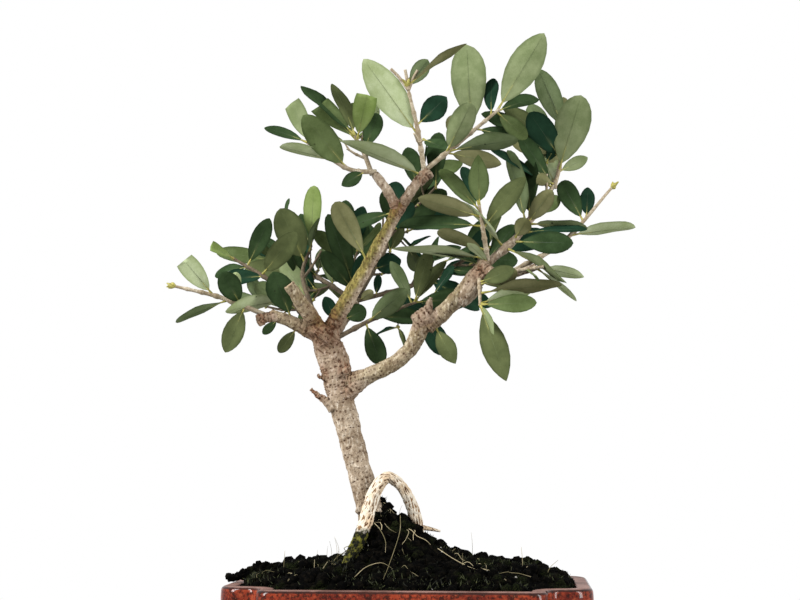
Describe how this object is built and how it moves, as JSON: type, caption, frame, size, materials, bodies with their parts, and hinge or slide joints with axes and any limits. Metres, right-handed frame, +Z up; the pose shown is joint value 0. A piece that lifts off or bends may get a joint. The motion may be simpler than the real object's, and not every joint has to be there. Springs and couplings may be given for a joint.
{
  "type": "potted olive bonsai",
  "caption": "Small olive bonsai with a leaning trunk, pruned boughs and leathery leaves, growing from a soil mound in a glazed rectangular pot with indented corners.",
  "frame": {"origin": "middle of the footprint box, on the surface that the pot's feet stand on", "axes": "+X along the pot's long side to the viewer's right, +Y to the back, +Z up"},
  "size_m": [0.2682, 0.162, 0.3754],
  "materials": {
    "glazed_pot": "gloss",
    "soil": "matte",
    "bark": "matte",
    "root_bark": "matte",
    "foliage": "satin"
  },
  "bodies": {
    "root": {"pot": "glazed_pot", "soil": "soil", "trunk": "bark", "cut_stub": "bark", "left_bough": "bark", "leader": "bark", "upper_left_bough": "bark", "upper_right_bough": "bark", "right_bough": "bark", "right_bough_upper": "bark", "right_limb": "bark", "right_spur": "bark", "back_bough": "bark", "looped_root_left": "root_bark", "looped_root_right": "root_bark", "foliage_left_low": "foliage", "foliage_left_high": "foliage", "foliage_left_crest": "foliage", "foliage_centre_low": "foliage", "foliage_upper_left": "foliage", "foliage_upper_left_outer": "foliage", "foliage_apex_left": "foliage", "foliage_apex": "foliage", "foliage_right_crest": "foliage", "foliage_upper_right": "foliage", "foliage_right": "foliage", "foliage_right_front": "foliage", "foliage_right_low": "foliage", "foliage_centre": "foliage", "foliage_back_left": "foliage", "foliage_back_high": "foliage", "foliage_back_right": "foliage"}
  },
  "joints": []
}
